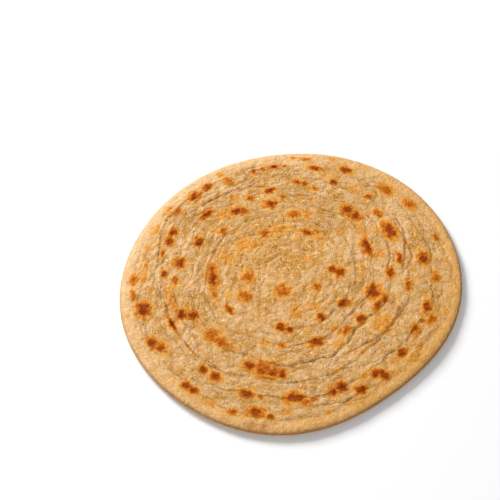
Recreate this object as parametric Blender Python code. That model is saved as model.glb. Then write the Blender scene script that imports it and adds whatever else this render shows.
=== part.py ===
"""Wheat paratha: a round, layered flatbread, rolled out from a coiled rope of dough and griddled.

It is one solid, in metres, +Z up. The underside rests on z = 0, and the origin is under the middle of the
footprint. The coil is laid out in its own coordinates: rho goes from 0 at the coil's eye to 1 at the rim, and
theta goes round it. A turn of the coil is a low shingle, which rises outwards to a lip and drops to a crease.
"""

import math

import bmesh
import bpy
from mathutils import Vector, noise
from mathutils.geometry import delaunay_2d_cdt

MM = 0.001

# The outline, as a mean radius and the lobes that the rolling pin left: order, share of the radius, degrees
MEAN_RADIUS = 89.1 * MM
LOBES = ((1, 0.026, 113), (2, 0.044, 34), (3, 0.009, 19), (4, 0.007, -3), (5, 0.006, -18))

# The bread's thickness, between the rest plane and the mean top
THICKNESS = 5.6 * MM
DOME = 0.5 * MM
EDGE_ROUND = 4.2 * MM
EDGE_THINNING = 0.9 * MM
THINNING_SPAN = (0.8, 1.0)

# The rim stands off the rest plane a little, in waves round the bread
RIM_LIFT = 0.9 * MM
LIFT_MEAN = 0.55
LIFT_WAVE = 0.45
LIFT_WAVES = 3
LIFT_PHASE = 0.8
LIFT_SPAN = (0.84, 1.0)
LIFT_CURVE = 1.5

# The coil. Spans are shares of the way from the eye to the rim
TURNS = 9.6
FIRST_TURN = 0.3
EYE = (-5.0 * MM, 6.5 * MM)
WANDER = 0.44 / TURNS
WANDER_SIZE = 0.42
WANDER_STARTS = (0.0, 0.25)
WANDER_ENDS = (0.8, 0.97)
SMOOTH_EYE = (0.14, 0.42)
SMOOTH_RIM = (0.90, 0.97)

# One turn's cross-section: share of the turn's width, then heights in shares of the lip's height, for the
# turn's own fold and for the thinner fold that lies on it in places
TOP_SHINGLE = (
    (0.0, -0.75, 0.0),
    (0.09, -0.10, 0.0),
    (0.38, 0.20, 0.30),
    (0.47, 0.25, -0.55),
    (0.58, 0.45, 0.10),
    (0.86, 1.0, 0.0),
    (0.95, 0.55, 0.0),
)
LIP_HEIGHT = 0.75 * MM

# How proud the folds stand along the rope, which the rolling pin pressed unevenly
FOLD_MEAN = 0.72
FOLD_SPREAD = 0.45
FOLD_CHANGES = 1.9
THIN_FOLD_SPAN = (-0.1, 0.4)
THIN_FOLD_CHANGES = 2.6

# The creases of the underside, and the unevenness of the whole top
UNDER_SHINGLE = ((0.0, 1.0, 0.0), (0.14, 0.0, 0.0), (0.86, 0.0, 0.0))
UNDER_CREASE = 0.6 * MM
SWELL = 0.35 * MM
SWELL_SIZE = 17 * MM
BUMP = 0.22 * MM
BUMP_SIZE = 5 * MM

# Where each unevenness is read in the noise, so that no two are alike
WANDER_NOISE = 3.1
FOLD_NOISE = (7.3, 0.4)
THIN_FOLD_NOISE = (1.8, 9.1)
SWELL_NOISE = 1.7
BUMP_NOISE = 5.2

# How finely the solid is faceted
TOP_SPACING = 5.0 * MM
UNDER_SPACING = 9.0 * MM
WIDEST_STEP = 1 / 14
RIM_POINTS = 128
EDGE_ANGLES = (90, 62, 34, 6, -22, -52, -90)
CLEAR_OF_EDGE = 0.012
SAME_POINT = 0.05 * MM
SAME_PLAN_POINT = 0.0001 * MM
SHARP_ANGLE = 50

CRUST_COLOUR = (0.62, 0.34, 0.125, 1.0)
CRUST_ROUGHNESS = 0.62


def smooth(low, high, value):
    """0 below low, 1 above high, and a smooth rise between them."""
    share = min(1.0, max(0.0, (value - low) / (high - low)))
    return share * share * (3 - 2 * share)


def outline_radius(theta):
    lobes = sum(share * math.cos(order * (theta - math.radians(at))) for order, share, at in LOBES)
    return MEAN_RADIUS * (1 + lobes)


def edge_inset():
    """rho where the rounded edge starts."""
    return 1 - EDGE_ROUND / MEAN_RADIUS


def place(rho, theta):
    """The point of the plan at coil coordinates rho, theta."""
    reach = rho * outline_radius(theta)
    off_centre = 1 - rho * rho
    x = EYE[0] * off_centre + reach * math.cos(theta)
    y = EYE[1] * off_centre + reach * math.sin(theta)
    return x, y


def field(x, y, size, layer):
    """Smooth noise from -1 to 1, with bumps about this size."""
    return noise.noise(Vector((x / size, y / size, layer)))


def wander(rho, theta):
    """How far a turn strays from its even place, in rho. It fades out at the eye and the rim."""
    x, y = rho * math.cos(theta), rho * math.sin(theta)
    share = smooth(*WANDER_STARTS, rho) * (1 - smooth(*WANDER_ENDS, rho))
    return WANDER * share * field(x, y, WANDER_SIZE, WANDER_NOISE)


def coil_rho(turn, theta):
    """rho on the spiral, where turn counts turns from the eye."""
    even = turn / TURNS
    return even + wander(even, theta)


def fade(rho):
    """The folds are pressed flat round the eye and at the rim."""
    return smooth(*SMOOTH_EYE, rho) * (1 - smooth(*SMOOTH_RIM, rho))


def fold_strength(turn):
    """How proud the lip stands here along the rope."""
    return FOLD_MEAN + FOLD_SPREAD * noise.noise(Vector((turn * FOLD_CHANGES, *FOLD_NOISE)))


def thin_fold_strength(turn):
    """The thinner fold comes and goes along the rope."""
    return smooth(*THIN_FOLD_SPAN, noise.noise(Vector((turn * THIN_FOLD_CHANGES, *THIN_FOLD_NOISE))))


def swell(x, y):
    """The unevenness of the top, broad and small."""
    broad = SWELL * field(x, y, SWELL_SIZE, SWELL_NOISE)
    small = BUMP * field(x, y, BUMP_SIZE, BUMP_NOISE)
    return broad + small


def top_height(rho, x, y):
    """The mean top without its folds, up to where the edge turns down."""
    thinning = EDGE_THINNING * smooth(*THINNING_SPAN, rho)
    return THICKNESS + DOME * (1 - rho * rho) - thinning + swell(x, y)


def rim_lift(theta):
    """How far the rim stands off the rest plane."""
    return RIM_LIFT * (LIFT_MEAN + LIFT_WAVE * math.sin(LIFT_WAVES * theta + LIFT_PHASE))


def under_height(rho, theta):
    """The underside without its creases: flat, and lifted towards the rim."""
    return rim_lift(theta) * smooth(*LIFT_SPAN, rho) ** LIFT_CURVE


def spiral_points(shingle, spacing, height_of, crease):
    """The lines that run round the coil, one for each point of the shingle, as lists of (x, y, z)."""
    lines = []
    last = edge_inset() - CLEAR_OF_EDGE
    for share, lip, thin_fold in shingle:
        line = []
        turn = FIRST_TURN
        while True:
            theta = 2 * math.pi * turn
            rho = coil_rho(turn + share, theta)
            if rho > last:
                break
            x, y = place(rho, theta)
            relief = lip * fold_strength(turn) + thin_fold * thin_fold_strength(turn)
            z = height_of(rho, theta, x, y) + crease * relief * fade(rho)
            line.append((x, y, z))
            turn += min(WIDEST_STEP, spacing / (2 * math.pi * rho * MEAN_RADIUS))
        lines.append(line)
    return lines


def rim_ring(angle):
    """A closed ring of the rounded edge, where angle goes from 90 at the top to -90 under the bread."""
    points = []
    for i in range(RIM_POINTS):
        theta = 2 * math.pi * i / RIM_POINTS
        inset = edge_inset()
        x, y = place(inset, theta)
        high = top_height(inset, x, y)
        low = under_height(inset, theta)
        out = Vector((math.cos(theta), math.sin(theta)))
        reach = EDGE_ROUND * math.cos(math.radians(angle))
        rise = math.sin(math.radians(angle))
        z = (high + low) / 2 + rise * (high - low) / 2
        points.append((x + out.x * reach, y + out.y * reach, z))
    return points


def fill(body, ring, lines, upwards):
    """Triangulates the face inside ring so that the coil's lines become its edges."""
    points = list(ring)
    edges = []
    for i in range(len(ring)):
        edges.append((i, (i + 1) % len(ring)))
    for line in lines:
        start = len(points)
        points += line
        edges += [(i, i + 1) for i in range(start, start + len(line) - 1)]
    flat = [Vector((x, y)) for x, y, z in points]
    inside_only = 1
    found = delaunay_2d_cdt(flat, edges, [list(range(len(ring)))], inside_only, SAME_PLAN_POINT)
    places = found[0]
    triangles = found[2]
    sources = found[3]
    made = []
    for at, source in zip(places, sources):
        made.append(body.verts.new((at.x, at.y, points[source[0]][2])))
    for corners in triangles:
        order = corners if upwards else tuple(reversed(corners))
        body.faces.new([made[i] for i in order])


def build_bread():
    body = bmesh.new()
    rings = [rim_ring(angle) for angle in EDGE_ANGLES]
    folds = spiral_points(
        TOP_SHINGLE, TOP_SPACING, lambda rho, theta, x, y: top_height(rho, x, y), LIP_HEIGHT
    )
    fill(body, rings[0], folds, upwards=True)
    creases = spiral_points(
        UNDER_SHINGLE, UNDER_SPACING, lambda rho, theta, x, y: under_height(rho, theta), UNDER_CREASE
    )
    fill(body, rings[-1], creases, upwards=False)
    rows = [[body.verts.new(p) for p in ring] for ring in rings]
    for upper, lower in zip(rows, rows[1:]):
        for i in range(RIM_POINTS):
            j = (i + 1) % RIM_POINTS
            body.faces.new((upper[i], lower[i], lower[j], upper[j]))
    bmesh.ops.remove_doubles(body, verts=body.verts, dist=SAME_POINT)
    bmesh.ops.triangulate(body, faces=[f for f in body.faces if len(f.verts) > 3])
    bmesh.ops.recalc_face_normals(body, faces=body.faces)
    return body


def centre_on_footprint(body):
    """Puts the origin under the middle of the footprint, and the lowest point on z = 0."""
    axes = [[v.co[axis] for v in body.verts] for axis in range(3)]
    x, y = ((min(a) + max(a)) / 2 for a in axes[:2])
    bmesh.ops.translate(body, verts=body.verts, vec=(-x, -y, -min(axes[2])))


def crust_material():
    made = bpy.data.materials.new("griddled_crust")
    made.use_nodes = True
    shader = made.node_tree.nodes["Principled BSDF"]
    shader.inputs["Base Color"].default_value = CRUST_COLOUR
    shader.inputs["Roughness"].default_value = CRUST_ROUGHNESS
    shader.inputs["Metallic"].default_value = 0.0
    made.diffuse_color = CRUST_COLOUR
    return made


def clear_scene():
    for old in list(bpy.data.objects):
        bpy.data.objects.remove(old)


def main():
    clear_scene()
    body = build_bread()
    centre_on_footprint(body)
    mesh = bpy.data.meshes.new("wheat_paratha")
    body.to_mesh(mesh)
    body.free()
    mesh.shade_smooth()
    mesh.set_sharp_from_angle(angle=math.radians(SHARP_ANGLE))
    mesh.materials.append(crust_material())
    bread = bpy.data.objects.new("wheat_paratha", mesh)
    bpy.context.scene.collection.objects.link(bread)


main()
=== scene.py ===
import math

import bpy
import numpy as np
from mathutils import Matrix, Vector, noise


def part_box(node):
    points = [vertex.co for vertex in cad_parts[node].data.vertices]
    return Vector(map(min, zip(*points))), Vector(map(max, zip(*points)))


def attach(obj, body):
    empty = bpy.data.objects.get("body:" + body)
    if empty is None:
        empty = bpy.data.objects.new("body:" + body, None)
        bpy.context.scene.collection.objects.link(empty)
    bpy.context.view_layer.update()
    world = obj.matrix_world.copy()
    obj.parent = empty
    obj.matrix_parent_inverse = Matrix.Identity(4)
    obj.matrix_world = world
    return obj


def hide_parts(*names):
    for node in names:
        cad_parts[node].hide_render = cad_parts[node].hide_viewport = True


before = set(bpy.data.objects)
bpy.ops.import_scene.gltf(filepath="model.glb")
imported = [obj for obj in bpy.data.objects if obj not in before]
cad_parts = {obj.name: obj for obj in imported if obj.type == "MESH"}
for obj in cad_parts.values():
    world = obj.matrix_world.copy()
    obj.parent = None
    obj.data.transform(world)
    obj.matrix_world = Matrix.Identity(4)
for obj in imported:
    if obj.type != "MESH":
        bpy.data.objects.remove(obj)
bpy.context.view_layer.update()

# The bread is worked out in millimetres and made in metres
MM = 0.001

# Plan of the bread: the mean radius and its lobes, as order, share of the radius, degrees
MEAN_RADIUS = 89.1
LOBES = ((1, 0.026, 113), (2, 0.044, 34), (3, 0.009, 19), (4, 0.007, -3), (5, 0.006, -18))

# Thickness, the rounded edge, and how the rim stands off the rest plane in waves round the bread
THICKNESS = 5.6
DOME = 0.5
EDGE_ROUND = 4.2
EDGE_THINNING = 0.9
THINNING_SPAN = (0.8, 1.0)
RIM_LIFT = 0.9
LIFT_MEAN = 0.55
LIFT_WAVE = 0.45
LIFT_WAVES = 3
LIFT_PHASE = 0.8
LIFT_SPAN = (0.84, 1.0)
LIFT_CURVE = 1.5

# The coil. Spans are shares of the way from the eye to the rim
TURNS = 9.6
EYE = (-5.0, 6.5)
WANDER = 0.44 / TURNS
WANDER_SIZE = 0.42
WANDER_STARTS = (0.0, 0.25)
WANDER_ENDS = (0.8, 0.97)
SMOOTH_EYE = (0.14, 0.42)
SMOOTH_RIM = (0.90, 0.97)

# One turn's cross-section: shares of the turn's width, and heights in shares of the lip's height
SHINGLE = (
    (0.0, -0.95), (0.05, -0.35), (0.12, -0.02), (0.38, 0.15),
    (0.62, 0.45), (0.86, 1.0), (0.94, 0.85), (1.0, -0.95),
)
LIP_HEIGHT = 0.5
CREASE_REACH = 1.3
UNDER_CREASE = 0.48
UNDER_CREASE_WIDTH = 0.07
UNDER_BUMP = 0.12
UNDER_BUMP_SPAN = (0.0, 0.5)

# How proud a turn's lip stands along the rope, which the rolling pin pressed unevenly
FOLD_MEAN = 0.62
FOLD_SPREAD = 0.95
FOLD_CHANGES = 1.9

# Unevenness that is summed from several noises, each as its share, its size in mm and a layer of its own
MEANDERS = ((3.6, 24, 72), (1.3, 8, 24), (0.5, 3.5, 10.5))
SWELLS = ((0.35, 17, 1.7), (0.22, 5, 5.2))
FOLD_SWAYS = ((1.4, 10, 14.2), (0.5, 4, 19.6))
RAGGED_EDGES = ((1.0, 2.4, 71.2), (0.35, 1.2, 77.7))

# Where each other unevenness is read in the noise: its size in mm, or its length along the rope and its
# width across it, and last a layer of its own, so that no two are alike
WANDER_NOISE = 3.1
FOLD_NOISE = (7.3, 0.4)
FOLD_STRENGTH_NOISE = (7, 12.9)
BROKEN_CREASE_NOISE = (9, 6, 17.7)
WIDE_WRINKLE_NOISE = (15, 3.6, 11.5)
FINE_WRINKLE_NOISE = (6, 2.2, 23.1)
WRINKLE_PATCH_NOISE = (13, 31.7)
CRUMPLE_NOISE = (8, 52.7)
SKIN_PATCH_NOISE = (11, 61.3)
PEBBLE_WARP_NOISE = (4, 66.1)
UNDER_BUMP_NOISE = (2.6, 91.4)

# A crease: its steep side and its slow side in shares of its width, and the lip that stands beside it
STEEP_SIDE = 0.6
SLOW_SIDE = 1.6
SLOW_CURVE = 1.3
LIP_OFFSET = 2.4
LIP_SPREAD = 1.5

# The long folds: the widths of crease and lip, how high they stand, and where they fade out at their ends
LONG_CREASE_WIDTH = 0.34
LONG_LIP_WIDTH = 0.8
LONG_FOLD_HEIGHT = 0.5
LONG_LIP_SHARE = 0.7
LEAST_LONG_FOLD = 0.55
LONG_FOLD_SPAN = (-0.5, 0.2)
LONG_FOLD_STARTS = (-0.06, 0.12)
LONG_FOLD_ENDS = (0.88, 1.06)

# The wrinkles along the rope, and the crumpled skin round the eye: depths in mm, and spans that they fill
RIDGE = 2.2
WIDE_WRINKLE = 0.20
WIDE_WRINKLE_SPAN = (0.5, 1.0)
FINE_WRINKLE = 0.10
FINE_WRINKLE_SPAN = (0.55, 1.0)
WRINKLE_PATCH_SPAN = (-0.35, 0.35)
LEAST_WRINKLE = 0.35
WRINKLES_START = (0.1, 0.45)
WRINKLES_END = (0.91, 0.97)
RIM_PRESSED = 0.7
WRINKLE_LINE_START = 0.15
CRUMPLE = 0.30
CRUMPLE_SPAN = (0.45, 1.0)
CRUMPLES_END = (0.35, 0.6)
CRUMPLE_LINE = 0.9
CRUMPLE_LINE_START = 0.2

# The pebbled skin: the pebbles' length along the rope and width across it, the grains' size, and heights
PEBBLE_LENGTH = 4.4
PEBBLE_WIDTH = 3.0
PEBBLE_HEIGHT = 0.85
PEBBLE_LAYER = 4.0
GRAIN_SIZE = 1.6
GRAIN_HEIGHT = 0.20
GRAIN_LAYER = 8.0
MEAN_ROUNDNESS = 0.4
PEBBLE_WARP = 0.35
CREVICE_WIDTH = 0.20
CREVICE_DEPTH = 0.16
CREVICE_MASK = 0.85
CREVICE_REACH = 0.4
LEAST_SKIN = 0.35
SKIN_SPAN = (-0.35, 0.2)
SKIN_END = (0.88, 0.96)

# How points are strewn: factors of the column, row and layer, and a large one that leaves no order
STREWN = (12.9898, 78.233, 37.719)
STREWN_WIDELY = 43758.5453
NEXT_LAYER = 0.5

# How much each kind of crease counts in the mask that darkens them with painted shade
ROPE_CREASE = 0.85
BROKEN_SPAN = (-0.4, 0.3)
WRINKLE_CREASE = 0.78

# Where the rim's finish starts on the top and below, and where the wrinkled skin starts outside the eye
TOP_RIM = (0.86, 0.97)
UNDER_RIM = (0.9, 0.99)
WRINKLED_SPAN = (0.25, 0.55)

# The edge's darker part, where it turns down, as spans of the sine of its angle. It is partly the browned
# underside and partly painted shade, with less of it on the side toward the window light
TURNS_DOWN = (0.75, 0.35)
TURNS_UNDER = (-1.0, -0.6)
LIT_SIDE_SHADE_EASING = 0.6

# Where the middle of the footprint lies from the coil's middle. Folds and spots are placed from it
FOOTPRINT = (-0.8, 1.4)

# Fineness of the mesh
TOP_STEP = 0.6
UNDER_STEP = 1.3
FEWEST_ROUND_RING = 24
WIDEST_GAP = 0.8
MOST_ROUND_RING = 768
EDGE_RINGS = 11

# Longer folds that stand out from the coil: depth, how dark the painted shade in its crease is, which way it
# faces (1 outwards, -1 inwards), and points along it from the middle of the footprint
LONG_FOLDS = (
    (0.80, 1.1, -1, (-10, 63.5), (-20, 63), (-28, 61), (-35, 58.5), (-42, 54.5), (-50, 49)),
    (0.40, 0.9, -1, (-22, 42), (-30, 34), (-37, 28), (-40, 22), (-42, 12)),
    (0.30, 0.8, -1, (22, 71), (10, 71.5), (0, 71), (-12, 70.5), (-20, 71)),
    (0.35, 0.8, -1, (30, 57), (20, 59), (10, 61.5), (0, 62)),
    (0.45, 1.0, -1, (14, 56), (6, 57), (-1, 57)),
    (0.35, 0.8, -1, (25, 47), (17, 48.5), (8, 48)),
    (0.40, 0.9, -1, (12, 36), (4, 38), (-6, 40)),
    (0.40, 0.8, 1, (33, 10), (34, 22), (33, 32)),
    (0.30, 0.8, 1, (46, 20), (47, 30), (45, 42)),
    (0.40, 0.7, 1, (24, 14), (25.5, 21), (24, 29)),
    (0.75, 1.1, 1, (59, 4), (61, 14), (61.5, 25), (60, 36), (57, 46)),
    (0.45, 0.8, 1, (87, 0), (85, 12), (80, 29), (75, 42), (69, 51)),
    (0.35, 0.8, 1, (68, -6), (69, 6), (70, 16)),
    (0.30, 0.8, -1, (-54, 27), (-57, 38), (-52, 50)),
    (0.85, 1.1, -1, (-55, 56), (-64, 46), (-69, 35), (-71, 22), (-72, 10)),
    (0.95, 1.2, -1, (-69, 2), (-68.5, -8), (-66, -17), (-62, -26), (-57, -35), (-50, -44), (-41, -52),
     (-32, -57)),
    (0.60, 0.9, -1, (-81, -5), (-82, -16), (-80, -27), (-75, -39)),
    (0.40, 0.8, 1, (-30, -31), (-22, -38), (-12, -41), (-3, -42), (8, -42.5), (14, -40)),
    (0.35, 0.8, 1, (-27, -48), (-15, -49), (-5, -50)),
    (0.65, 1.1, 1, (-3, -51), (6, -53), (14, -53.5)),
    (0.60, 1.1, 1, (18, -50), (25, -45.5), (33, -41), (40, -37), (47, -31), (52, -25), (56, -17), (57, -8)),
    (0.45, 0.9, 1, (22, -53.5), (33, -51.5), (41, -48.5), (47, -43)),
    (0.35, 0.8, 1, (17, -41), (23, -36), (30, -30)),
    (0.50, 0.9, 1, (-8, -76.5), (3, -75.5), (15, -73), (28, -70.5), (38, -67), (47, -61), (53, -52)),
    (0.40, 0.8, 1, (60, -33), (65, -22), (68, -10)),
    (0.35, 0.7, 1, (-45, -66), (-32, -70), (-20, -71.5), (-10, -71)),
    (0.50, 0.9, 1, (-36, -80), (-24, -83), (-10, -83.5), (2, -81.5), (12, -79)),
    (0.35, 0.8, 1, (46, -70), (56, -63), (66, -53), (75, -40), (82, -25)),
)

# Browned spots as read from the photo laid flat, each x, y, width and height. All of them were
# read a little too far from the viewer
READ_TOO_FAR = 2.2
SCORCHED = (
    (-53.1, 58.5, 5, 7), (-45.8, 65.2, 4, 5), (-20, 76.6, 2.5, 4), (-8.6, 79.6, 6, 3),
    (-66.5, 28.7, 5, 6), (-63.8, 34, 4, 5), (-59.8, 14, 6, 6), (-67.9, 7.3, 3, 5), (-50.4, 27.7, 6, 5),
    (-46.4, 46.4, 4, 8), (-30.4, 47.8, 6, 5), (-10.9, 61.8, 6, 4), (-10.9, 53.1, 7, 5),
    (-41.7, 4.9, 5, 14), (14.4, 78.2, 6, 3.5), (31.5, 77.2, 7, 4.5), (4, 68.2, 5, 3.5),
    (23.5, 68.5, 4, 3.5), (30.8, 49.4, 7, 6), (36.5, 45.4, 6, 6), (54.3, 35, 7, 11),
    (41.2, 24.3, 5, 11), (9.4, 34.7, 6, 4), (71, 17, 6, 8), (57.6, 17, 3, 7), (53.3, 7.9, 4, 7),
    (21.8, 10.6, 4, 5), (25.5, 8.3, 5, 6), (-77.9, -14.4, 7, 9), (-73.2, -34.5, 5, 6),
    (-68.5, -37.9, 5, 6), (-63.2, -23.8, 3, 8), (-57.5, -17.4, 5, 7), (-52.1, -18.4, 5, 7),
    (-32.7, -15.1, 3, 6), (-6.2, -25.8, 5, 5), (-1.6, -27.5, 4, 4), (-46.1, -50.6, 5, 4),
    (-40.4, -54.6, 6, 5), (-21.6, -49.2, 7, 6), (-6.2, -53.9, 5, 5), (-55.1, -60, 4, 5),
    (-50.8, -62.6, 4, 5), (-23.7, -65, 8, 4), (0.5, -66.5, 9, 6), (-18.6, -74.7, 8, 5),
    (-11.6, -77.7, 4, 3), (43.2, -3.4, 7, 9), (27.1, -11.1, 5, 5), (15.1, -19.4, 5, 5),
    (44.9, -13, 3.5, 7), (36.2, -20.8, 6, 5), (11.7, -34.8, 8, 4.5), (70.7, -12.7, 4, 8),
    (55.9, -41.2, 4, 6), (41.9, -52.6, 5, 6), (45.8, -54, 5, 5), (23.8, -60.6, 6, 5), (20, -63.5, 5, 5),
    (33.5, -62, 6, 5), (-16, -51.8, 6, 4), (-11, -53.8, 5, 3.5),
)
BROWNED = (
    (-84.3, 4.2, 4, 6), (-62.5, 47.8, 3, 6), (-34, 68.9, 5, 5), (-15, 77.2, 3, 3), (-3.2, 80.2, 2, 1.5),
    (-68.9, 20.3, 2.5, 5), (-61.8, 3.2, 3, 5), (-37.4, 35.4, 4, 5), (-26.5, 48.6, 5, 5),
    (-22.3, 57.1, 4, 4), (-4.2, 58.5, 4, 2.5), (1.7, 86.6, 2.5, 1.5), (8.7, 85.6, 5, 2),
    (18.1, 76.9, 3, 2), (7.7, 67.5, 4, 3.5), (14.4, 64.5, 4, 2.5), (42.9, 57.8, 4, 4),
    (48.2, 47.1, 4, 5), (66, 53.1, 5, 7), (2.4, 46.4, 6, 5), (13.5, 35.6, 5, 1.5), (79.4, 31, 2.5, 5),
    (76.7, 4.9, 4, 6), (62.3, 0.3, 3.5, 7), (12.7, -1.1, 4.5, 4), (-83.9, -5.7, 3, 6),
    (-41.4, -5.7, 3, 6), (-5.6, -36.5, 4, 3), (-14, -51.8, 12, 6), (-13.6, -55.3, 10, 1.5),
    (-17, -66.7, 3, 2), (-31, -74.7, 5, 3), (6.4, -69.3, 5, 3), (30.4, -10.4, 3, 3), (49, -8, 4, 6),
    (28.5, -28.1, 7, 4), (72.7, -21.1, 4, 6), (68, -21.8, 3, 3), (9.7, -67.3, 3, 2),
)
GOLDEN = (
    (-23, 4.9, 6, 6.5), (-13.6, 33, 5, 5), (53.9, 63.5, 8, 6), (-25, -6.7, 6, 7), (-4.6, -3.7, 7.5, 7),
    (-41.5, -31, 7, 7), (-37, -35, 8, 6), (-15, -50.5, 12, 8), (-9, -52.5, 9, 6), (64.3, -26.8, 5, 6),
)
TINGED = (
    (-78.6, 4.9, 3, 6), (-78.2, 12.3, 3, 4), (-77.2, 23.7, 4, 3), (-73.5, 35.7, 3.5, 6),
    (-67.2, 49.1, 3, 5), (-38.7, 74.6, 4, 3), (-36.4, 46.4, 6, 6), (-31, 57.1, 5, 4),
    (-40.7, 12.3, 2, 3), (-25.7, 25.7, 8, 6), (-19.6, 25.7, 4, 5), (-6.2, 36.4, 10, 5),
    (-34, 17.6, 6, 6), (23.5, 85.6, 5, 2), (22.5, 60.8, 3, 2), (35.2, 63.2, 6, 3), (13.8, 55.5, 2, 2),
    (38.9, 35.7, 3, 7), (9.4, 46.4, 5, 5), (15.1, 31, 6, 3), (26.1, 35.4, 3, 2), (37.9, 11.6, 3, 5),
    (7.7, 17.3, 3, 3), (47.9, 20.3, 3, 5), (-63.5, -8.4, 4, 14), (-31.5, -38, 5, 3), (-15, -34.5, 5, 3),
    (-4.5, -74.6, 5, 3), (-43.1, -68.7, 8, 3), (11.7, -12.4, 4, 4), (2.4, -17.1, 5, 7),
    (21.1, -27.1, 5, 3), (23.8, -36.2, 5, 4), (47.2, -23.8, 10, 8), (80, -14.4, 2, 4),
    (50.6, -45.9, 3, 3), (63.3, -43.2, 4, 6), (36.5, -54.6, 5, 3), (17.1, -74.4, 2, 3),
    (27.8, -69.3, 4, 1.5),
)

# The point that the coil was taken to run round. Where the coil's slant to x is between these degrees, a
# spot's greater size lies along it
READ_ROUND = (-5, 5)
SLANTWISE = (22, 68)

SPOT_STRENGTHS = ((SCORCHED, 0.95), (BROWNED, 0.72), (GOLDEN, 0.70), (TINGED, 0.34))

# A spot's browning falls off from its heart through a ring to a faint halo, in shares of the spot's reach
SPOT_SPREAD = 1.75
SPOT_RAGGEDNESS = 0.45
SPOT_REACH = 1.9
HALO = 0.25
HALO_END = (1.1, 1.85)
RING = 0.52
RING_END = (0.92, 1.36)
HEART_END = (0.42, 1.14)
BLISTER_HEIGHT = 0.3
BLISTER_END = (0.2, 1.5)

# Spots strewn at random: how many, the seed, the span of rho squared, their widths in mm, and their lengths
# in shares of the width
SMALL_TINGES = (90, 11, (0.05, 0.93), (1.5, 2.8), (1.0, 1.8))
SMALL_TINGE_STRENGTH = 0.22
UNDER_SPOTS = (150, 7, (0.01, 0.9), (2.5, 7.5), (1.0, 1.9))
UNDER_STRENGTHS = (0.85, 0.5)

# Broad patches where the dough is more golden and a little darker (above 0) or paler (below 0): x, y,
# radius, how much
BROAD_TONES = (
    (-6, 20, 30, 1.1), (-4, 0, 22, 0.5), (-6, 46, 14, 0.4), (22, -22, 20, -1.1), (-30, 68, 20, -0.5),
    (-6, 84, 14, -0.8), (72, -4, 18, 0.9), (8, -76, 18, -0.6), (-56, -36, 16, 0.6), (-72, -4, 14, -0.4),
    (60, 46, 12, -0.3),
)
# The side of the rim that faces the window light, where the rim is painted paler: painted light
LIT_SIDE = math.radians(150)

# Colours of the dough and the crust, as a screen shows them. The dough's and spots' highlights are painted
# highlights, the rim's two tones are painted light and shade, and the turned-down edge is partly browned
# and partly painted shade
BRAN = (92, 56, 16)
DOUGH_PAINTED_HIGHLIGHT = (255, 224, 168)
SPOT_PAINTED_HIGHLIGHT = (255, 206, 122)
PAINTED_LIGHT_RIM = (234, 194, 146)
PAINTED_SHADE_RIM = (236, 174, 90)
UNDER_EDGE_SHADE = (136, 84, 26)
BROWNED_CRUST = (
    (0.0, (224, 172, 100)), (0.22, (226, 162, 76)), (0.42, (216, 136, 44)),
    (0.62, (196, 106, 16)), (0.82, (172, 82, 8)), (1.0, (138, 56, 3)),
)

# Each side's finish: pale and golden dough, how much bran shows, how mottled its spots are, and the colour
# of the painted shade in its creases
TOP_FINISH = ((228, 187, 137), (203, 144, 57), 0.80, 0.22, (192, 146, 90))
UNDER_FINISH = ((222, 172, 108), (204, 138, 54), 0.5, 0.35, (190, 146, 92))
LOOKS_DOWN = -0.6

# Patches in the finish: size in mm, detail, roughness, and the noise where they begin and are full
DOUGH_PATCHES = (11, 3, 0.6, 0.36, 0.64)
DOUGH_MOTTLE = (3.6, 3, 0.7, 0.42, 0.58)
PAINTED_HIGHLIGHT_PATCHES = (6, 2, 0.5, 0.36, 0.60)
SPECK_PATCHES = (9, 2, 0.5, 0.38, 0.58)
SPOT_MOTTLE = (1.5, 1.5, 0.6, 0.3, 0.7)
SKIN_GRAIN = (0.9, 1, 0.5, 0.3, 0.7)
WRINKLE_FADES = (12, 2, 0.5, 0.4, 0.6)
GREASE_PATCHES = (3.5, 3, 0.6, 0.4, 0.62)

# Strewn dots: the spacing in mm, then the radius in shares of it, and the share of places that have one
# Painted highlights strewn over the dough
DOUGH_PAINTED_HIGHLIGHTS = (1.15, 0.33, 0.42)
BRAN_SPECKS = (1.4, 0.27, 0.26)
# Painted highlights strewn over the browned spots
SPOT_PAINTED_HIGHLIGHTS = (1.1, 0.27, 0.45)
PORES = (1.9, 0.18, 0.12)
CRISP_EDGE = (1.3, 0.7)
SOFT_EDGE = (2.6, 1.2)

# How much each thing counts in the finish, with the painted highlights, light and shade among them
PATCH_SHARE = 0.45
MOTTLE_SHARE = 0.55
TOASTED_SHARE = 0.18
DOUGH_PAINTED_HIGHLIGHT_SHARE = 0.95
SPOT_PAINTED_HIGHLIGHT_SHARE = 0.45
RIM_SHARE = 0.7
UNDER_EDGE_SHADE_SHARE = 0.85
CREASE_SHADE_SHARE = 0.7
CREASE_SHADE_SPAN = (0.45, 0.95)
HAIR_CREASE_SHADE_SHARE = 0.28
HAIR_CREASE_DEPTH = 0.45
GREASE_SHARE = 0.25
UNBURNT = (0.6, 0.2)

# Spans of the browning: where its own mottle comes in, where its painted highlights go, and where it covers
# the dough
MOTTLE_STARTS = (0.0, 0.25)
PAINTED_HIGHLIGHTS_FADE = (0.95, 0.45)
COVERS_DOUGH = (0.03, 0.22)

# The skin's own relief, finer than the mesh
BUMP_HEIGHT = 0.3
FINE_PEBBLE = 1.7
FINE_PEBBLE_SHARE = 0.7
GRAIN_SHARE = 0.6
PORE_SHARE = 0.5
# The relief's height also paints shade into the pits and light onto the tops: its span and the shades it
# gives
RELIEF_SPAN = (-0.7, 0.5)
PAINTED_RELIEF_SHADES = (0.75, 1.15)

# Hair-fine creases: length along the rope and width across it in mm, and how wide their lines are
HAIR_CREASES = ((13, 3.0, 0.035), (6, 1.9, 0.03))
HAIR_CREASE_CORE = 0.3
HAIR_CREASE_NOISE = (1.0, 1.0, 0.4)

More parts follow.
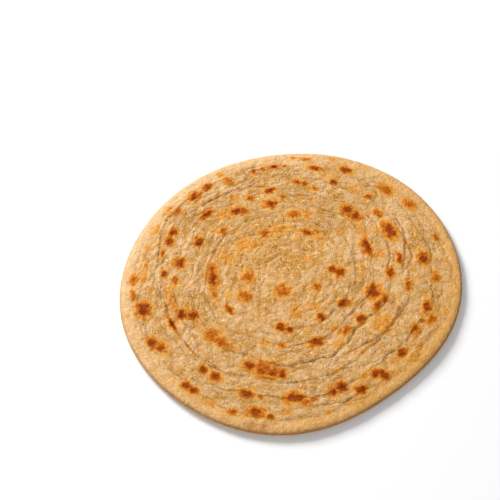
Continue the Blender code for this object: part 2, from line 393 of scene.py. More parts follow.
FLOOR_HALF = 4.0
CAMERA_ELEVATION = math.radians(56)
CAMERA_AIM = (-22.1, 24.5, 0)
CAMERA_DISTANCE = 757


def smooth(low, high, value):
    """0 below low, 1 above high, and a smooth rise between them."""
    share = np.clip((value - low) / (high - low), 0.0, 1.0)
    return share * share * (3 - 2 * share)


def scatter(column, row, layer):
    """A number from 0 to 1 for each square of a grid, with no order to be seen in them."""
    value = np.sin(column * STREWN[0] + row * STREWN[1] + layer * STREWN[2]) * STREWN_WIDELY
    return value - np.floor(value)


def cells(a, b, layer):
    """Distance to the nearest of points strewn one to a unit square, and how much further the next is."""
    column = np.floor(a)
    row = np.floor(b)
    nearest = np.full_like(a, np.inf)
    second = np.full_like(a, np.inf)
    for i in (-1, 0, 1):
        for j in (-1, 0, 1):
            middle_a = column + i + scatter(column + i, row + j, layer)
            middle_b = row + j + scatter(column + i, row + j, layer + NEXT_LAYER)
            reach = np.hypot(a - middle_a, b - middle_b)
            second = np.minimum(second, np.maximum(nearest, reach))
            nearest = np.minimum(nearest, reach)
    return nearest, second - nearest


def field(a, b, layer):
    """Smooth noise at each pair of a and b, about -0.8 to 0.8, with bumps about 1 wide."""
    return np.array([noise.noise((p, q, layer)) for p, q in zip(a, b)])


def ridged(value):
    """1 along the middle line of a noise, and less away from it."""
    return 1 - RIDGE * np.abs(value)


def outline_radius(theta):
    lobes = sum(share * np.cos(order * (theta - math.radians(at))) for order, share, at in LOBES)
    return MEAN_RADIUS * (1 + lobes)


def edge_inset():
    """rho where the rounded edge starts."""
    return 1 - EDGE_ROUND / MEAN_RADIUS


def place(rho, theta):
    """The point of the plan at coil coordinates rho, theta."""
    reach = rho * outline_radius(theta)
    off_centre = 1 - rho * rho
    return EYE[0] * off_centre + reach * np.cos(theta), EYE[1] * off_centre + reach * np.sin(theta)


def on_coil(x, y):
    """The coil coordinates of one point, which is given from the middle of the footprint."""
    rounds = 12
    rho = 0.0
    for _ in range(rounds):
        dx = x + FOOTPRINT[0] - EYE[0] * (1 - rho * rho)
        dy = y + FOOTPRINT[1] - EYE[1] * (1 - rho * rho)
        theta = math.atan2(dy, dx)
        rho = math.hypot(dx, dy) / float(outline_radius(theta))
    return rho, theta


def wander(rho, theta):
    """How far a turn strays from its even place, in rho. It fades out at the eye and the rim."""
    share = smooth(*WANDER_STARTS, rho) * (1 - smooth(*WANDER_ENDS, rho))
    x = rho * np.cos(theta) / WANDER_SIZE
    y = rho * np.sin(theta) / WANDER_SIZE
    return WANDER * share * field(x, y, WANDER_NOISE)


class Coil:
    """Where each point of the bread lies on the rolled-out rope of dough."""

    def __init__(self, rho, theta):
        self.rho = rho
        self.theta = theta
        self.x, self.y = place(rho, theta)
        way_round = np.mod(theta / (2 * math.pi), 1.0)
        strayed = wander(rho, theta) + self.summed_noise(MEANDERS) / MEAN_RADIUS
        layers = (rho - strayed) * TURNS - way_round
        layer = np.floor(layers)
        self.across = layers - layer
        self.turn = layer + way_round
        self.length = math.pi * np.clip(self.turn, 0, None) ** 2 * MEAN_RADIUS / TURNS
        self.out = (self.turn + self.across) * MEAN_RADIUS / TURNS
        self.pressed = smooth(*SMOOTH_EYE, rho) * (1 - smooth(*SMOOTH_RIM, rho))

    def rope_noise(self, length, width, layer):
        """Noise that is drawn out along the rope, with bumps of this length and width in mm."""
        return field(self.length / length, self.out / width, layer)

    def plan_noise(self, size, layer):
        """Noise in the plan, with bumps of this size in mm."""
        return field(self.x / size, self.y / size, layer)

    def summed_noise(self, parts):
        """Noise in the plan, summed from parts of (share, size in mm, layer)."""
        return sum(share * self.plan_noise(size, layer) for share, size, layer in parts)

    def off_crease(self):
        """How far each point is from the nearest crease between two turns, in shares of a turn's width."""
        return np.abs(self.across - np.round(self.across))


def shingle_height(coil):
    shares, heights = zip(*SHINGLE)
    beside, layer = FOLD_NOISE
    pressed = field(coil.turn * FOLD_CHANGES, np.full_like(coil.turn, beside), layer)
    strength = FOLD_MEAN + FOLD_SPREAD * pressed
    return LIP_HEIGHT * np.interp(coil.across, shares, heights) * strength * coil.pressed


def crease_depth(distance, width):
    """A crease, 1 at its foot, with a steep side below its lip and a slow side beyond."""
    steep = np.exp(-(distance / (STEEP_SIDE * width)) ** 2)
    slow = np.exp(-np.abs(distance / (SLOW_SIDE * width)) ** SLOW_CURVE)
    return np.where(distance < 0, steep, slow)


def lip_beside(distance, width):
    """The fold's lip, which stands beside its crease."""
    return np.exp(-((distance + LIP_OFFSET * width) / (LIP_SPREAD * width)) ** 2)


def long_fold_height(coil):
    """The long folds' relief, and how deep in one of their creases each point is."""
    height = np.zeros_like(coil.rho)
    crease = np.zeros_like(coil.rho)
    unsteady = coil.summed_noise(FOLD_SWAYS)
    pressed = smooth(*LONG_FOLD_SPAN, coil.plan_noise(*FOLD_STRENGTH_NOISE))
    strength = LEAST_LONG_FOLD + (1 - LEAST_LONG_FOLD) * pressed
    for depth, dark, facing, *path in LONG_FOLDS:
        reaches, bearings = zip(*(on_coil(x, y) for x, y in path))
        start = bearings[0]
        ways = [math.remainder(bearing - start, 2 * math.pi) for bearing in bearings]
        way = np.remainder(coil.theta - start + math.pi, 2 * math.pi) - math.pi
        distance = facing * ((coil.rho - np.interp(way, ways, reaches)) * MEAN_RADIUS - unsteady)
        share = way / ways[-1]
        taper = smooth(*LONG_FOLD_STARTS, share) * (1 - smooth(*LONG_FOLD_ENDS, share))
        lip = LONG_LIP_SHARE * taper * lip_beside(distance, LONG_LIP_WIDTH)
        foot = taper * strength * crease_depth(distance, LONG_CREASE_WIDTH)
        height += LONG_FOLD_HEIGHT * depth * (lip - foot)
        crease = np.maximum(crease, taper * strength * (dark - np.abs(distance) / CREASE_REACH))
    return height, crease


def rope_wrinkles(coil):
    """Wide and fine wrinkles along the rope: their height, and how deep in a wide one each point is."""
    wide = ridged(coil.rope_noise(*WIDE_WRINKLE_NOISE))
    fine = ridged(coil.rope_noise(*FINE_WRINKLE_NOISE))
    patchy = smooth(*WRINKLE_PATCH_SPAN, coil.plan_noise(*WRINKLE_PATCH_NOISE))
    coiled = smooth(*WRINKLES_START, coil.rho) * (1 - RIM_PRESSED * smooth(*WRINKLES_END, coil.rho))
    wide_depth = WIDE_WRINKLE * smooth(*WIDE_WRINKLE_SPAN, wide) * (LEAST_WRINKLE + patchy)
    fine_depth = FINE_WRINKLE * smooth(*FINE_WRINKLE_SPAN, fine)
    line = coiled * (1 + patchy) / 2 * np.clip(wide - WRINKLE_LINE_START, 0, 1)
    return -coiled * (wide_depth + fine_depth), line


def crumpled_eye(coil):
    """The crumpled skin round the eye: its height, and how deep in a crease each point is."""
    crumpled = ridged(coil.plan_noise(*CRUMPLE_NOISE))
    round_eye = 1 - smooth(*CRUMPLES_END, coil.rho)
    line = CRUMPLE_LINE * round_eye * np.clip(crumpled - CRUMPLE_LINE_START, 0, 1)
    return -CRUMPLE * round_eye * smooth(*CRUMPLE_SPAN, crumpled), line


def pebbled_skin(coil):
    """The pebbled skin: its height, and how deep between its pebbles each point is, which paints shade into
    the crevices.
    """
    patches = LEAST_SKIN + (1 - LEAST_SKIN) * smooth(*SKIN_SPAN, coil.plan_noise(*SKIN_PATCH_NOISE))
    on_skin = patches * (1 - RIM_PRESSED * smooth(*SKIN_END, coil.rho))
    warp = PEBBLE_WARP * coil.plan_noise(*PEBBLE_WARP_NOISE)
    pebble, gap = cells(coil.length / PEBBLE_LENGTH + warp, coil.out / PEBBLE_WIDTH - warp, PEBBLE_LAYER)
    grain = cells(coil.x / GRAIN_SIZE + warp, coil.y / GRAIN_SIZE + warp, GRAIN_LAYER)[0]
    pebbles = PEBBLE_HEIGHT * (MEAN_ROUNDNESS - pebble ** 2)
    grains = GRAIN_HEIGHT * (MEAN_ROUNDNESS - grain ** 2)
    crevices = CREVICE_DEPTH * (1 - smooth(0.0, CREVICE_WIDTH, gap))
    return on_skin * (pebbles + grains - crevices), on_skin * (CREVICE_MASK - gap / CREVICE_REACH)


def wrinkle_height(coil):
    """Wrinkles over a pebbled skin. Also how deep in a crease each point is."""
    parts = (rope_wrinkles(coil), crumpled_eye(coil), pebbled_skin(coil))
    height = sum(part[0] for part in parts)
    return height, np.maximum.reduce([part[1] for part in parts])


def spot_share(coil, x, y, length, width, ragged):
    """The points near a spot, and how far out in it each lies: 0 at its heart and about 1 at its edge."""
    x = x + FOOTPRINT[0]
    y = y + FOOTPRINT[1]
    near = np.nonzero(np.hypot(coil.x - x, coil.y - y) < SPOT_REACH * max(length, width))[0]
    outward = math.atan2(y - EYE[1], x - EYE[0])
    dx = coil.x[near] - x
    dy = coil.y[near] - y
    out = dx * math.cos(outward) + dy * math.sin(outward)
    along = dy * math.cos(outward) - dx * math.sin(outward)
    reach = np.hypot(SPOT_SPREAD * along / length, SPOT_SPREAD * out / width)
    return near, reach + SPOT_RAGGEDNESS * ragged[near]


def browning(coil, spots_by_strength):
    """How brown each point is, from 0 to 1, and how much of a blister."""
    brown = np.zeros_like(coil.rho)
    blister = np.zeros_like(coil.rho)
    ragged = coil.summed_noise(RAGGED_EDGES)
    for spots, strength in spots_by_strength:
        for x, y, length, width in spots:
            near, reach = spot_share(coil, x, y, length, width, ragged)
            halo = HALO * math.sqrt(strength) * (1 - smooth(*HALO_END, reach))
            ring = RING * math.sqrt(strength) * (1 - smooth(*RING_END, reach))
            heart = strength * (1 - smooth(*HEART_END, reach))
            brown[near] = np.maximum.reduce([brown[near], halo, ring, heart])
            blister[near] = np.maximum(blister[near], strength * (1 - smooth(*BLISTER_END, reach)))
    return brown, blister


def strewn_spots(count, seed, spread, widths, lengths):
    """Spots as x, y from the coil's middle, length and width, drawn at random but the same each time."""
    draw = np.random.default_rng(seed)
    spots = []
    for _ in range(count):
        rho = math.sqrt(draw.uniform(*spread))
        x, y = place(rho, draw.uniform(0, 2 * math.pi))
        width = draw.uniform(*widths)
        spots.append((float(x), float(y), width * draw.uniform(*lengths), width))
    return spots


def lay_along_coil(x, y, width, height):
    """A spot's place to a whole mm, its length along the coil and its width across it, from its reading."""
    y -= READ_TOO_FAR
    outward = math.atan2(y - READ_ROUND[1], x - READ_ROUND[0])
    sideways, away = abs(math.sin(outward)), abs(math.cos(outward))
    slant = math.degrees(math.atan2(away, sideways))
    if SLANTWISE[0] < slant < SLANTWISE[1]:
        length, across = max(width, height), min(width, height)
    elif sideways > away:
        length, across = width, height
    else:
        length, across = height, width
    return round(x), round(y), length, across


def top_spots():
    """The spots that the photograph shows, and faint golden touches strewn between them."""
    tinges = [(x - FOOTPRINT[0], y - FOOTPRINT[1], *size) for x, y, *size in strewn_spots(*SMALL_TINGES)]
    laid = []
    for readings, strength in SPOT_STRENGTHS:
        laid.append(([lay_along_coil(*reading) for reading in readings], strength))
    return (*laid, (tinges, SMALL_TINGE_STRENGTH))


def under_spots():
    spots = strewn_spots(*UNDER_SPOTS)
    return [(spots[i::2], strength) for i, strength in enumerate(UNDER_STRENGTHS)]


def broad_tone(coil):
    """How much more golden the dough is here, broadly."""
    tone = np.zeros_like(coil.rho)
    for x, y, radius, amount in BROAD_TONES:
        off = np.hypot(coil.x - x - FOOTPRINT[0], coil.y - y - FOOTPRINT[1])
        tone += amount * np.exp(-(off / radius) ** 2)
    return tone


def rim_facing_light(theta):
    """How much the rim faces the window light: 1 on that side, 0 opposite. It sets the painted light and
    shade on the rim.
    """
    return (1 + np.cos(theta - LIT_SIDE)) / 2


def rim_lift(theta):
    """The rim stands off the rest plane a little, more in some places."""
    return RIM_LIFT * (LIFT_MEAN + LIFT_WAVE * np.sin(LIFT_WAVES * theta + LIFT_PHASE))


def finish_masks(coil, brown, crease, rim):
    """What the finish needs to know at each point. rim is 1 on the rim and 0 away from it."""
    # The rim is painted paler on the side toward the window light, and more golden and a little darker on
    # the far side: painted light and shade
    pale = rim_facing_light(coil.theta)
    return {
        "browning": brown,
        "toasted": broad_tone(coil),
        "crease": crease,
        "painted_light_rim": rim * pale,
        "painted_shade_rim": rim * (1 - pale),
        "wrinkled": smooth(*WRINKLED_SPAN, coil.rho) * (1 - rim),
        "under_edge_shade": np.zeros_like(brown),
        "along_rope": coil.length,
        "across_rope": coil.out,
    }


def top_surface(rho, theta):
    """Heights and finish masks of the top, for arrays of coil coordinates."""
    coil = Coil(rho, theta)
    fold, fold_crease = long_fold_height(coil)
    wrinkle, wrinkle_crease = wrinkle_height(coil)
    brown, blister = browning(coil, top_spots())
    z = THICKNESS + DOME * (1 - rho * rho) - EDGE_THINNING * smooth(*THINNING_SPAN, rho)
    z += coil.summed_noise(SWELLS) + shingle_height(coil) + fold + wrinkle + BLISTER_HEIGHT * blister
    # The crease mask paints shade into the rope's creases, broken in places, and into the creases of the
    # long folds and wrinkles
    broken = smooth(*BROKEN_SPAN, coil.rope_noise(*BROKEN_CREASE_NOISE)) * coil.pressed
    off_crease = coil.off_crease() * MEAN_RADIUS / TURNS
    rope_crease = ROPE_CREASE * broken * (1 - off_crease / CREASE_REACH)
    crease = np.maximum.reduce([rope_crease, fold_crease, WRINKLE_CREASE * wrinkle_crease])
    return coil.x, coil.y, z, finish_masks(coil, brown, crease, smooth(*TOP_RIM, rho))


def under_surface(rho, theta):
    """Heights and finish masks of the underside, for arrays of coil coordinates."""
    coil = Coil(rho, theta)
    # The crease shapes the underside and also paints shade into its creases
    crease = np.exp(-(coil.off_crease() / UNDER_CREASE_WIDTH) ** 2) * coil.pressed
    brown, blister = browning(coil, under_spots())
    bumps = smooth(*UNDER_BUMP_SPAN, coil.plan_noise(*UNDER_BUMP_NOISE)) * (1 - blister)
    z = rim_lift(theta) * smooth(*LIFT_SPAN, rho) ** LIFT_CURVE + UNDER_CREASE * crease + UNDER_BUMP * bumps
    return coil.x, coil.y, z, finish_masks(coil, brown, crease, smooth(*UNDER_RIM, rho))


def edge_browning(x, y, spots_by_strength):
    """Browning at points of the edge, which lie outside the coil's plan."""
    edge = Coil(np.ones_like(x), np.arctan2(y, x))
    edge.x = x
    edge.y = y
    return browning(edge, spots_by_strength)[0]


def edge_surface(angle, theta):
    """A ring of the rounded edge, where angle goes from 90 at the top to -90 under the bread."""
    inset = np.full_like(theta, edge_inset())
    x, y, high, top_masks = top_surface(inset, theta)
    low, under_masks = under_surface(inset, theta)[2:]
    reach = EDGE_ROUND * math.cos(math.radians(angle))
    rise = math.sin(math.radians(angle))
    x = x + reach * np.cos(theta)
    y = y + reach * np.sin(theta)
    z = (high + low) / 2 + rise * (high - low) / 2
    share = (1 + rise) / 2
    masks = {name: share * top_masks[name] + (1 - share) * under_masks[name] for name in top_masks}
    # Painted shade where the edge turns under, browned like the underside, with less of it toward the window
    # light
    turned_down = smooth(*TURNS_DOWN, rise) * smooth(*TURNS_UNDER, rise)
    masks["under_edge_shade"] = turned_down * (1 - LIT_SIDE_SHADE_EASING * rim_facing_light(theta))
    above = edge_browning(x, y, top_spots())
    below = edge_browning(x, y, under_spots())
    masks["browning"] = share * above + (1 - share) * below
    return x, y, z, masks


class Rings:
    """Rings of points, joined into one skin as they are added, from the eye of the top to the eye below."""

    def __init__(self):
        self.points = []
        self.faces = []
        self.masks = {}
        self.last = None
        self.size = 0

    def add(self, surface):
        x, y, z, masks = surface
        ring = list(range(self.size, self.size + len(x)))
        self.points.append(np.column_stack((x, y, z)))
        for name, values in masks.items():
            self.masks.setdefault(name, []).append(values)
        self.size += len(x)
        if self.last:
            self.join(self.last, ring)
        self.last = ring

    def join(self, inner, outer):
        """Joins two rings. One may have twice the points of the other, or be a single point."""
        if len(inner) > len(outer):
            self.faces += [tuple(reversed(face)) for face in self.between(outer, inner)]
        else:
            self.faces += self.between(inner, outer)

    def between(self, few, many):
        if len(few) == 1:
            return [(few[0], many[i], many[(i + 1) % len(many)]) for i in range(len(many))]
        count = len(few)
        faces = []
        for i in range(count):
            a = few[i]
            b = few[(i + 1) % count]
            if len(many) == count:
                faces.append((a, many[i], many[(i + 1) % count], b))
                continue
            left = many[2 * i]
            middle = many[2 * i + 1]
            right = many[(2 * i + 2) % len(many)]
            faces += [(a, left, middle), (a, middle, b), (b, middle, right)]
        return faces


def points_round(radius):
    """How many points a ring of this radius has: few enough near the eye, doubling outwards."""
    count = FEWEST_ROUND_RING
    while count < MOST_ROUND_RING and 2 * math.pi * radius / count > WIDEST_GAP:
        count *= 2
    return count


def angles(count):
    return np.arange(count) * 2 * math.pi / count


def bread_rings():
    """The whole skin, ring by ring: out over the top, down round the edge, and in below."""
    rings = Rings()
    whole = edge_inset() * MEAN_RADIUS
    eye = np.zeros(1)
    rings.add(top_surface(eye, eye))
    top_rings = round(whole / TOP_STEP)
    for i in range(1, top_rings + 1):
        radius = whole * i / top_rings
        theta = angles(points_round(radius))
        rings.add(top_surface(np.full_like(theta, radius / MEAN_RADIUS), theta))
    for i in range(1, EDGE_RINGS + 1):
        rings.add(edge_surface(90 - 180 * i / (EDGE_RINGS + 1), angles(MOST_ROUND_RING)))
    under_rings = round(whole / UNDER_STEP)
    for i in range(under_rings, 0, -1):
        radius = whole * i / under_rings
        count = points_round(radius)
        theta = angles(count if i == under_rings else min(count, MOST_ROUND_RING // 2))
        rings.add(under_surface(np.full_like(theta, radius / MEAN_RADIUS), theta))
    rings.add(under_surface(eye, eye))
    return rings


def put_on_footprint(points, box):
    """Centres the points over the solid's footprint, with the lowest on its rest plane, in metres."""
    low = points.min(axis=0)
    middle = (low + points.max(axis=0)) / 2
    points = (points - (middle[0], middle[1], low[2])) * MM
    return points + ((box[0][0] + box[1][0]) / 2, (box[0][1] + box[1][1]) / 2, box[0][2])


def make_bread():
    rings = bread_rings()
    points = put_on_footprint(np.vstack(rings.points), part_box("wheat_paratha"))
    mesh = bpy.data.meshes.new("griddled_paratha")
    mesh.from_pydata(points.tolist(), [], rings.faces)
    mesh.shade_smooth()
    for name, parts in rings.masks.items():
        layer = mesh.attributes.new(name, "FLOAT", "POINT")
        layer.data.foreach_set("value", np.concatenate(parts))
    bread = bpy.data.objects.new("griddled_paratha", mesh)
    bpy.context.scene.collection.objects.link(bread)
    return bread


class Nodes:
    """A node tree that is written from left to right."""

    def __init__(self, tree):
        self.tree = tree

    def add(self, kind, links=(), **values):
        """Adds a node. links pairs an input with another node's output, and values sets its properties."""
        node = self.tree.nodes.new(kind)
        for name, value in values.items():
            setattr(node, name, value)
        for name, source in dict(links).items():
            self.give(node.inputs[name], source)
        return node

    def give(self, socket, source):
        """Links an input to another node's output, or sets it to a value."""
        if isinstance(source, bpy.types.NodeSocket):
            self.tree.links.new(source, socket)
        else:
            socket.default_value = source

    def group(self, tree, **sources):
        """Adds a node group, with its inputs named in lower case with low lines for spaces."""
        node = self.add("ShaderNodeGroup", node_tree=tree)
        for name, source in sources.items():
            self.give(node.inputs[name.replace("_", " ").title()], source)
        return node.outputs

    def math(self, operation, a, b=0.0, clamp=False):
        return self.add("ShaderNodeMath", {0: a, 1: b}, operation=operation, use_clamp=clamp).outputs[0]

    def times(self, a, b):
        return self.math("MULTIPLY", a, b)

    def mix(self, share, a, b, blend="MIX"):
        node = self.add("ShaderNodeMix", {0: share, 6: a, 7: b}, data_type="RGBA", blend_type=blend)
        return node.outputs[2]

    def noise(self, where, scale, detail, roughness):
        links = {"Vector": where, "Scale": scale, "Detail": detail, "Roughness": roughness}
        return self.add("ShaderNodeTexNoise", links).outputs["Fac"]

    def patches(self, where, size_mm, detail, roughness, low, high):
        """Patches of about this size, 0 where the noise is below low and 1 where it is above high."""
        return self.window(self.noise(where, 1 / (size_mm * MM), detail, roughness), low, high)

    def ramp(self, value, stops):
        """A colour ramp through stops of (place, colour)."""
        node = self.add("ShaderNodeValToRGB", {"Fac": value})
        marks = node.color_ramp.elements
        while len(marks) < len(stops):
            marks.new(0.5)
        for mark, (at, colour) in zip(marks, stops):
            mark.position = at
            mark.color = srgb(colour)
        return node.outputs["Color"]

    def window(self, value, low, high, low_result=0.0, high_result=1.0):
        """0 below low, 1 above high, or the results that are given instead."""
        links = {
            "Value": value,
            "From Min": low,
            "From Max": high,
            "To Min": low_result,
            "To Max": high_result,
        }
        return self.add("ShaderNodeMapRange", links).outputs["Result"]

    def mask(self, name):
        return self.add("ShaderNodeAttribute", attribute_name=name).outputs["Fac"]

    def dots(self, where, spacing_mm, radius, share, edge):
        """Dots strewn at random, 1 inside and 0 outside. edge is where they end and are full, in radii."""
        links = {"Vector": where, "Scale": 1 / (spacing_mm * MM)}
        strewn = self.add("ShaderNodeTexVoronoi", links, feature="F1").outputs
        drawn = self.add("ShaderNodeSeparateColor", {"Color": strewn["Color"]}).outputs[0]
        chosen = self.math("LESS_THAN", drawn, share)
        return self.times(chosen, self.window(strewn["Distance"], edge[0] * radius, edge[1] * radius))


def srgb(colour):
    """A colour as a screen shows it, 0 to 255, for a shader."""
    return tuple(((c / 255 + 0.055) / 1.055) ** 2.4 if c > 10 else c / 3294.6 for c in colour) + (1.0,)


def new_group(name, inputs, outputs):
    """A shader node group, with its inputs and outputs as {name: (kind, default)} and {name: kind}."""
    group = bpy.data.node_groups.new(name, "ShaderNodeTree")
    for socket, (kind, default) in inputs.items():
        made = group.interface.new_socket(socket, in_out="INPUT", socket_type="NodeSocket" + kind)
        if default is not None:
            made.default_value = default
    for socket, kind in outputs.items():
        group.interface.new_socket(socket, in_out="OUTPUT", socket_type="NodeSocket" + kind)
    nodes = Nodes(group)
    return group, nodes, nodes.add("NodeGroupInput").outputs, nodes.add("NodeGroupOutput").inputs


def wholemeal_group():
    """The dough's colour: pale and golden patches and bran specks, with painted highlights strewn over it.
    """
    pale, golden, bran_share = TOP_FINISH[:3]
    inputs = {
        "Where": ("Vector", None),
        "Pale": ("Color", srgb(pale)),
        "Golden": ("Color", srgb(golden)),
        "Bran": ("Color", srgb(BRAN)),
        "Bran Share": ("Float", bran_share),
        "Toasted": ("Float", 0.0),
    }
    group, nodes, given, out = new_group("wholemeal_dough", inputs, {"Color": "Color"})
    where = given["Where"]
    patches = nodes.times(nodes.patches(where, *DOUGH_PATCHES), PATCH_SHARE)
    mottle = nodes.times(nodes.patches(where, *DOUGH_MOTTLE), MOTTLE_SHARE)
    toasted = nodes.times(given["Toasted"], TOASTED_SHARE)
    golden_share = nodes.math("ADD", nodes.math("ADD", patches, mottle), toasted, clamp=True)
    dough = nodes.mix(golden_share, given["Pale"], given["Golden"])
    # Painted highlights: pale dots strewn in patches over the dough
    painted_highlights = nodes.times(nodes.dots(where, *DOUGH_PAINTED_HIGHLIGHTS, CRISP_EDGE), nodes.patches(where, *PAINTED_HIGHLIGHT_PATCHES))
    dough = nodes.mix(nodes.times(painted_highlights, DOUGH_PAINTED_HIGHLIGHT_SHARE), dough, srgb(DOUGH_PAINTED_HIGHLIGHT))
    specks = nodes.times(nodes.dots(where, *BRAN_SPECKS, CRISP_EDGE), nodes.patches(where, *SPECK_PATCHES))
    dough = nodes.mix(nodes.times(specks, given["Bran Share"]), dough, given["Bran"])
    nodes.give(out["Color"], dough)
    return group


def browned_group():
    """Turns a browning mask into the colours of griddled dough, mottled and ragged at the edge, with painted
    highlights on all but the darkest crust.
    """
    inputs = {
        "Where": ("Vector", None),
        "Dough": ("Color", srgb(TOP_FINISH[0])),
        "Browning": ("Float", 0.0),
        "Raggedness": ("Float", TOP_FINISH[3]),
    }
    outputs = {"Color": "Color", "Browning": "Float"}
    group, nodes, given, out = new_group("griddle_browning", inputs, outputs)
    where = given["Where"]
    mottle = nodes.math("SUBTRACT", nodes.patches(where, *SPOT_MOTTLE), 0.5)
    mottle = nodes.times(mottle, given["Raggedness"])
    mottle = nodes.times(mottle, nodes.window(given["Browning"], *MOTTLE_STARTS))
    brown = nodes.math("ADD", given["Browning"], mottle, clamp=True)
    # Painted highlights on the browned crust
    painted_highlights = nodes.times(nodes.dots(where, *SPOT_PAINTED_HIGHLIGHTS, CRISP_EDGE), nodes.window(brown, *PAINTED_HIGHLIGHTS_FADE))
    crust = nodes.ramp(brown, BROWNED_CRUST)
    crust = nodes.mix(nodes.times(painted_highlights, SPOT_PAINTED_HIGHLIGHT_SHARE), crust, srgb(SPOT_PAINTED_HIGHLIGHT))
    nodes.give(out["Color"], nodes.mix(nodes.window(brown, *COVERS_DOUGH), given["Dough"], crust))
    nodes.give(out["Browning"], brown)
    return group


def skin_relief_group():
    """The skin's finest relief: its height, and a shade that paints its pits darker and its tops paler, as
    painted shade and light.
    """
    inputs = {"Where": ("Vector", None), "Pebbles": ("Float", FINE_PEBBLE_SHARE)}
    group, nodes, given, out = new_group("skin_relief", inputs, {"Height": "Float", "Shade": "Float"})
    where = given["Where"]
    links = {"Vector": where, "Scale": 1 / (FINE_PEBBLE * MM), "Smoothness": 0.2}
    found = nodes.add("ShaderNodeTexVoronoi", links, feature="SMOOTH_F1")
    pebbles = nodes.times(found.outputs["Distance"], given["Pebbles"])
    grain = nodes.times(nodes.patches(where, *SKIN_GRAIN), GRAIN_SHARE)
    pores = nodes.times(nodes.dots(where, *PORES, SOFT_EDGE), PORE_SHARE)
    height = nodes.math("SUBTRACT", nodes.math("SUBTRACT", grain, pebbles), pores)
    nodes.give(out["Height"], height)
    nodes.give(out["Shade"], nodes.window(height, *RELIEF_SPAN, *PAINTED_RELIEF_SHADES))
    return group


def hair_crease_group():
    """Hair-fine creases that run along the rope of dough."""
    inputs = {"Along": ("Float", 0.0), "Across": ("Float", 0.0)}
    group, nodes, given, out = new_group("hair_creases", inputs, {"Crease": "Float"})
    lines = []
    for length, width, thin in HAIR_CREASES:
        along = nodes.math("DIVIDE", given["Along"], length)
        across = nodes.math("DIVIDE", given["Across"], width)
        where = nodes.add("ShaderNodeCombineXYZ", {"X": along, "Y": across, "Z": width}).outputs["Vector"]
        found = nodes.noise(where, *HAIR_CREASE_NOISE)
        off_line = nodes.math("ABSOLUTE", nodes.math("SUBTRACT", found, 0.5))
        lines.append(nodes.window(off_line, thin, HAIR_CREASE_CORE * thin))
    nodes.give(out["Crease"], nodes.math("MAXIMUM", *lines))
    return group


def rimmed(nodes, dough):
    """The dough's colour with painted light and shade on the rim: paler on its side toward the window light,
    more golden and a little darker on the far side, and darker where the edge turns down, partly browned and
    partly painted shade.
    """
    tones = (
        ("painted_light_rim", RIM_SHARE, PAINTED_LIGHT_RIM),
        ("painted_shade_rim", RIM_SHARE, PAINTED_SHADE_RIM),
        ("under_edge_shade", UNDER_EDGE_SHADE_SHARE, UNDER_EDGE_SHADE),
    )
    for mask, share, colour in tones:
        dough = nodes.mix(nodes.times(nodes.mask(mask), share), dough, srgb(colour))
    return dough


def crust_material(name, groups, finish):
    """One side of the bread: dough, browned by its mask, with painted shade in its creases and pits, painted
    light on its tops, and painted light and shade on its rim.
    """
    pale, golden, bran_share, raggedness, crease_shade_colour = finish
    made = bpy.data.materials.new(name)
    made.use_nodes = True
    made.node_tree.nodes.clear()
    nodes = Nodes(made.node_tree)
    where = nodes.add("ShaderNodeTexCoord").outputs["Object"]
    wholemeal = nodes.group(
        groups["wholemeal"],
        where=where,
        pale=srgb(pale),
        golden=srgb(golden),
        bran_share=bran_share,
        toasted=nodes.mask("toasted"),
    )
    browned = nodes.group(
        groups["browned"],
        where=where,
        dough=rimmed(nodes, wholemeal["Color"]),
        browning=nodes.mask("browning"),
        raggedness=raggedness,
    )
    relief = nodes.group(groups["relief"], where=where)
    hair = nodes.group(groups["hair"], along=nodes.mask("along_rope"), across=nodes.mask("across_rope"))
    fading = nodes.times(nodes.mask("wrinkled"), nodes.patches(where, *WRINKLE_FADES))
    hair_crease = nodes.times(hair["Crease"], fading)
    # Painted shade in the creases and in the hair-fine creases
    crease_shade = nodes.times(nodes.window(nodes.mask("crease"), *CREASE_SHADE_SPAN), CREASE_SHADE_SHARE)
    crease_shade = nodes.math("MAXIMUM", crease_shade, nodes.times(hair_crease, HAIR_CREASE_SHADE_SHARE))
    colour = nodes.mix(crease_shade, browned["Color"], srgb(crease_shade_colour), "MULTIPLY")
    # Painted shade in the skin's pits and painted light on its tops
    grey = {channel: relief["Shade"] for channel in ("Red", "Green", "Blue")}
    shade = nodes.add("ShaderNodeCombineColor", grey).outputs["Color"]
    height = nodes.math("SUBTRACT", relief["Height"], nodes.times(hair_crease, HAIR_CREASE_DEPTH))
    bump = nodes.add("ShaderNodeBump", {"Height": height, "Distance": BUMP_HEIGHT * MM, "Strength": 1.0})
    greased = nodes.times(nodes.patches(where, *GREASE_PATCHES), nodes.window(browned["Browning"], *UNBURNT))
    shader = nodes.add("ShaderNodeBsdfPrincipled", {
        "Base Color": nodes.mix(1.0, colour, shade, "MULTIPLY"),
        "Roughness": 0.6,
        "Normal": bump.outputs["Normal"],
        "Specular IOR Level": 0.07,
        "Coat Weight": nodes.times(greased, GREASE_SHARE),
        "Coat Roughness": 0.4,
        "Coat IOR": 1.4,
        "Subsurface Weight": 0.12,
        "Subsurface Radius": (1.0, 0.45, 0.2),
        "Subsurface Scale": 2.0 * MM,
    })
    nodes.add("ShaderNodeOutputMaterial", {"Surface": shader.outputs["BSDF"]})
    return made


def dress(bread):
    """Puts the top's finish on the faces that look up and the edge, and the underside's on the rest."""
    groups = {
        "wholemeal": wholemeal_group(),
        "browned": browned_group(),
        "relief": skin_relief_group(),
        "hair": hair_crease_group(),
    }
    bread.data.materials.append(crust_material("griddled_top", groups, TOP_FINISH))
    bread.data.materials.append(crust_material("griddled_underside", groups, UNDER_FINISH))
    normals = np.empty(len(bread.data.polygons) * 3, dtype=np.float32)
    bread.data.polygons.foreach_get("normal", normals)
    below = (normals.reshape(-1, 3)[:, 2] < LOOKS_DOWN).astype(np.int32)
    bread.data.polygons.foreach_set("material_index", below)


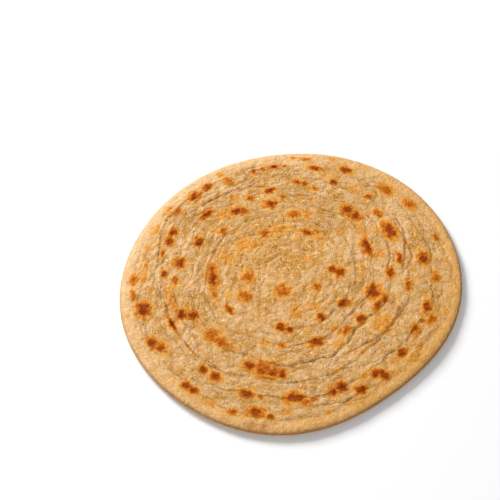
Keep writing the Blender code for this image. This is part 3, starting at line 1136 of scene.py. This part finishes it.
def plain_material(name, colour, roughness):
    made = bpy.data.materials.new(name)
    made.use_nodes = True
    shader = made.node_tree.nodes["Principled BSDF"]
    shader.inputs["Base Color"].default_value = colour
    shader.inputs["Roughness"].default_value = roughness
    return made


def make_floor():
    mesh = bpy.data.meshes.new("floor")
    corners = [(FLOOR_HALF * x, FLOOR_HALF * y, 0) for x, y in ((-1, -1), (1, -1), (1, 1), (-1, 1))]
    mesh.from_pydata(corners, [], [(0, 1, 2, 3)])
    mesh.materials.append(plain_material("pale_floor", colour=srgb((250, 250, 250)), roughness=0.7))
    floor = bpy.data.objects.new("floor", mesh)
    bpy.context.scene.collection.objects.link(floor)


def make_light(name, at, size, power):
    """A soft, square light that faces the bread."""
    lamp = bpy.data.lights.new(name, "AREA")
    lamp.shape = "SQUARE"
    lamp.size = size
    lamp.energy = power
    light = bpy.data.objects.new(name, lamp)
    light.location = at
    light.rotation_euler = (-Vector(at)).to_track_quat("-Z", "Y").to_euler()
    bpy.context.scene.collection.objects.link(light)


def make_world(brightness):
    world = bpy.data.worlds.new("studio")
    world.use_nodes = True
    background = world.node_tree.nodes["Background"]
    background.inputs["Color"].default_value = (1.0, 1.0, 1.0, 1.0)
    background.inputs["Strength"].default_value = brightness
    bpy.context.scene.world = world


def make_camera():
    """Looks down at the bread, which lies right of and below the middle of the picture."""
    camera = bpy.data.objects.new("camera", bpy.data.cameras.new("camera"))
    camera.data.lens = 100
    camera.data.sensor_width = 36
    back = Vector((0, -math.cos(CAMERA_ELEVATION), math.sin(CAMERA_ELEVATION)))
    camera.location = (Vector(CAMERA_AIM) + back * CAMERA_DISTANCE) * MM
    camera.rotation_euler = (-back).to_track_quat("-Z", "Y").to_euler()
    bpy.context.scene.collection.objects.link(camera)
    bpy.context.scene.camera = camera


bread = make_bread()
dress(bread)
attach(bread, "root")
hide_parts("wheat_paratha")

make_floor()
make_light("window", at=(-0.75, 0.85, 0.75), size=0.55, power=22.8)
make_light("fill", at=(0.2, -1.0, 0.6), size=0.8, power=4.2)
make_world(brightness=0.34)
make_camera()
bpy.context.scene.view_settings.view_transform = "Standard"
